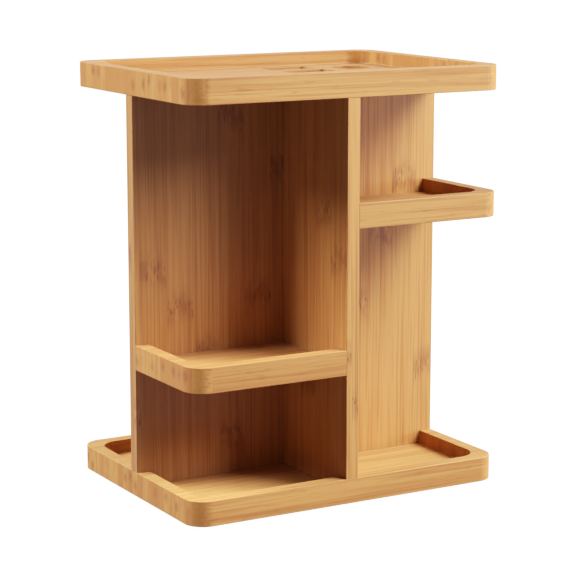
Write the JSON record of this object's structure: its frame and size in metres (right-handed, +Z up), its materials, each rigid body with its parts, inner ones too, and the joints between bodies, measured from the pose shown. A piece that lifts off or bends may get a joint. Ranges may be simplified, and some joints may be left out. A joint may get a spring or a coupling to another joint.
{
  "type": "lazy susan organizer",
  "caption": "Rotating bamboo desktop organizer: base and top trays, crossing panels and corner shelves on a low ball-bearing turntable.",
  "frame": {"origin": "centre of the footprint on the table, on the spin axis", "axes": "+Z up along the spin axis, -Y towards the front, +X to the right of someone facing the front"},
  "size_m": [0.251, 0.187, 0.316],
  "materials": {
    "bamboo_tray": "satin lacquer",
    "bamboo_panel": "satin lacquer",
    "dowel_wood": "raw turned",
    "zinc_steel": "zinc plated",
    "ball_steel": "polished",
    "nylon": "moulded",
    "foot_rubber": "matt"
  },
  "bodies": {
    "foot": {"lower_plate": "zinc_steel", "center_eyelet": "zinc_steel", "eyelet_washer": "nylon", "rubber_feet": "foot_rubber"},
    "carousel": {"base_tray": "bamboo_tray", "top_tray": "bamboo_tray", "long_panel": "bamboo_panel", "cross_panel": "bamboo_panel", "front_left_shelf": "bamboo_tray", "front_right_shelf": "bamboo_tray", "rear_right_shelf": "bamboo_tray", "base_dowels": "dowel_wood", "top_dowels": "dowel_wood", "shelf_dowels": "dowel_wood", "through_dowels": "dowel_wood", "panel_screws": "zinc_steel", "upper_plate": "zinc_steel", "plate_screws": "zinc_steel"},
    "ball_ring": {"ball_retainer": "nylon", "bearing_balls": "ball_steel"}
  },
  "joints": [
    {"name": "carousel_spin", "type": "hinge", "parent": "foot", "child": "carousel", "pos_m": [0, 0, 0.007], "axis": [0, 0, 1], "continuous": true},
    {"name": "cage_spin", "type": "hinge", "parent": "foot", "child": "ball_ring", "pos_m": [0, 0, 0.007], "axis": [0, 0, 1], "continuous": true}
  ],
  "couplings": [
    {"joint": "cage_spin", "follows": "carousel_spin", "ratio": 0.5}
  ]
}
